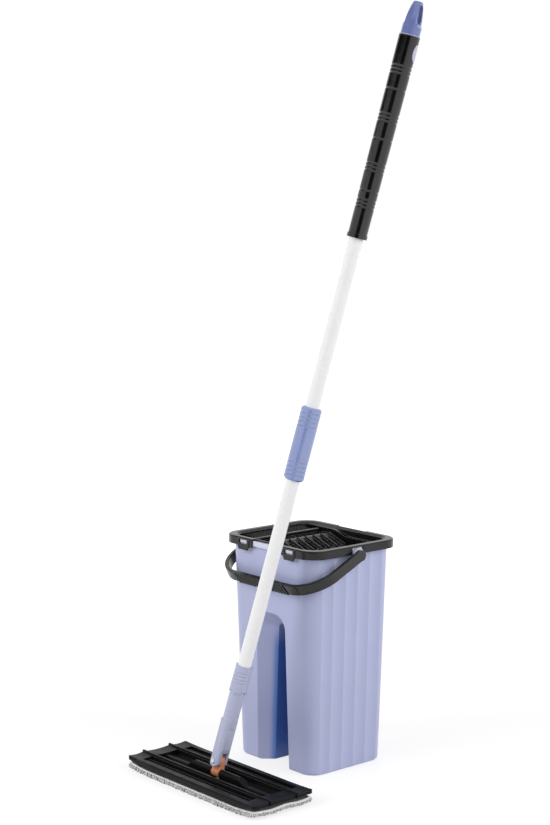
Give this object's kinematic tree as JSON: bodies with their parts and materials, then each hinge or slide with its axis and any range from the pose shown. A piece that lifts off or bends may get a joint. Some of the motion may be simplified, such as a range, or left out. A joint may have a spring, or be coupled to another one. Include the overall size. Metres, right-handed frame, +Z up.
{
  "type": "flat squeeze mop with wash-and-wring bucket",
  "caption": "Flat microfibre mop with a swivelling head on a screw-together pole, beside a two-chamber bucket with a ribbed wringer tray and a swinging bail handle.",
  "frame": {"origin": "on the floor under the middle of the bucket's footprint", "axes": "+Z up; -Y towards the mop in front of the bucket; +X across the bucket's legs, along the mop plate"},
  "size_m": [0.3732, 0.3799, 1.2357],
  "materials": {
    "lilac_plastic": "smooth moulded, soft sheen",
    "black_plastic": "moulded, semi-gloss",
    "black_grip": "matt, lightly textured",
    "rubber_lip": "matt rubber",
    "white_tube": "smooth powder coat",
    "slate_plastic": "moulded, soft sheen",
    "pale_plastic": "moulded, soft sheen",
    "orange_plastic": "moulded, semi-gloss",
    "steel": "plain drawn steel",
    "microfibre": "looped microfibre",
    "hook_tape": "woven hook tape",
    "inner_plastic": "plain moulded"
  },
  "bodies": {
    "bucket": {"bucket_body": "lilac_plastic"},
    "cover": {"cover_tray": "black_plastic", "washboard": "black_plastic", "scraper_bar": "black_plastic", "drain_ramp": "black_plastic", "squeegee_frame": "black_plastic", "squeegee_lip_left": "rubber_lip", "squeegee_lip_right": "rubber_lip"},
    "bail": {"bail_handle": "black_plastic"},
    "head": {"mop_plate": "black_plastic", "microfibre_pad": "microfibre", "hook_strip_front": "hook_tape", "hook_strip_back": "hook_tape", "trunnion_pin": "steel"},
    "universal_yoke": {"yoke": "orange_plastic"},
    "pole": {"hinge_pin": "steel", "pole_socket": "lilac_plastic", "socket_collar": "lilac_plastic", "tube_end_plug": "inner_plastic", "lower_tube": "white_tube", "lower_insert": "inner_plastic", "coupling_sleeve": "lilac_plastic", "upper_insert": "inner_plastic", "upper_tube": "white_tube", "grip": "black_grip", "grip_inlay": "pale_plastic", "hanging_cap": "slate_plastic"}
  },
  "joints": [
    {"name": "cover_lift", "type": "slide", "parent": "bucket", "child": "cover", "axis": [0, 0, 1], "range_m": [0, 0.12]},
    {"name": "bail_swing", "type": "hinge", "parent": "bucket", "child": "bail", "pos_m": [0, 0, 0.3623], "axis": [-1, 0, 0], "range_deg": [0, 230]},
    {"name": "mop_glide", "type": "slide", "parent": "bucket", "child": "head", "axis": [0, -1, 0], "range_m": [0, 0.4]},
    {"name": "head_tilt", "type": "hinge", "parent": "head", "child": "universal_yoke", "pos_m": [0.0234, -0.219, 0.0234], "axis": [1, 0, 0], "range_deg": [-3, 60]},
    {"name": "head_fold", "type": "hinge", "parent": "universal_yoke", "child": "pole", "pos_m": [0.0234, -0.21554, 0.04106], "axis": [0, 0.9814, -0.1922], "range_deg": [-95, 77]}
  ]
}
